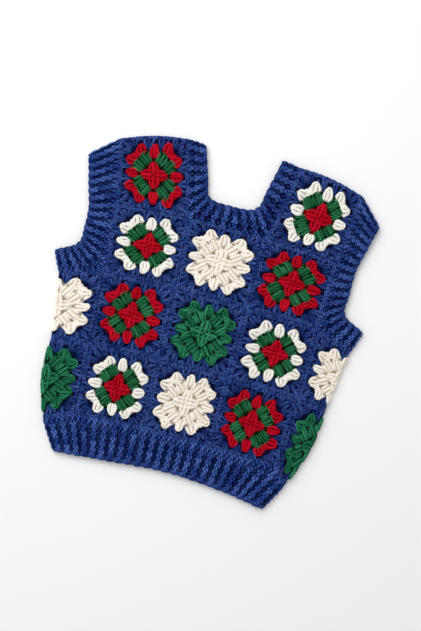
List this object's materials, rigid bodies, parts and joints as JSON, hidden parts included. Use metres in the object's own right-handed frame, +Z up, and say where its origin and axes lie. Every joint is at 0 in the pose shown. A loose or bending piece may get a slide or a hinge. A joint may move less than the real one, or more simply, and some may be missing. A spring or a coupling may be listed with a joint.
{
  "type": "crocheted sweater vest",
  "caption": "Sleeveless crocheted pullover of granny squares with ribbed hem, square neckline and armhole bands, laid flat.",
  "frame": {"origin": "on the surface that the vest lies on, under the middle of its outline", "axes": "+X to the right of the front as it is seen from above, +Y towards the shoulders, +Z up out of the front"},
  "size_m": [0.485, 0.5198, 0.0092],
  "materials": {
    "rib_yarn": "matte twisted yarn, royal blue",
    "red_edged_square": "matte twisted yarn, red and green rounds in a blue border",
    "cream_edged_square": "matte twisted yarn, red, green and cream rounds in a blue border",
    "cream_square": "matte twisted yarn, cream in a blue border",
    "green_square": "matte twisted yarn, green in a blue border"
  },
  "bodies": {
    "root": {"front_square_r0_c1": "red_edged_square", "back_square_r0_c1": "red_edged_square", "front_square_r0_c3": "cream_edged_square", "back_square_r0_c3": "cream_edged_square", "front_square_r1_c1": "cream_edged_square", "back_square_r1_c1": "cream_edged_square", "front_square_r1_c2": "cream_square", "back_square_r1_c2": "cream_square", "front_square_r1_c3": "red_edged_square", "back_square_r1_c3": "red_edged_square", "front_square_r2_c1": "red_edged_square", "back_square_r2_c1": "red_edged_square", "front_square_r2_c2": "green_square", "back_square_r2_c2": "green_square", "front_square_r2_c3": "cream_edged_square", "back_square_r2_c3": "cream_edged_square", "front_square_r3_c1": "cream_edged_square", "back_square_r3_c1": "cream_edged_square", "front_square_r3_c2": "cream_square", "back_square_r3_c2": "cream_square", "front_square_r3_c3": "red_edged_square", "back_square_r3_c3": "red_edged_square", "side_square_r2_left": "cream_square", "side_square_r2_right": "cream_square", "side_square_r3_left": "green_square", "side_square_r3_right": "green_square", "hem_band": "rib_yarn", "neck_band": "rib_yarn", "armhole_band_left": "rib_yarn", "armhole_band_right": "rib_yarn"}
  },
  "joints": []
}
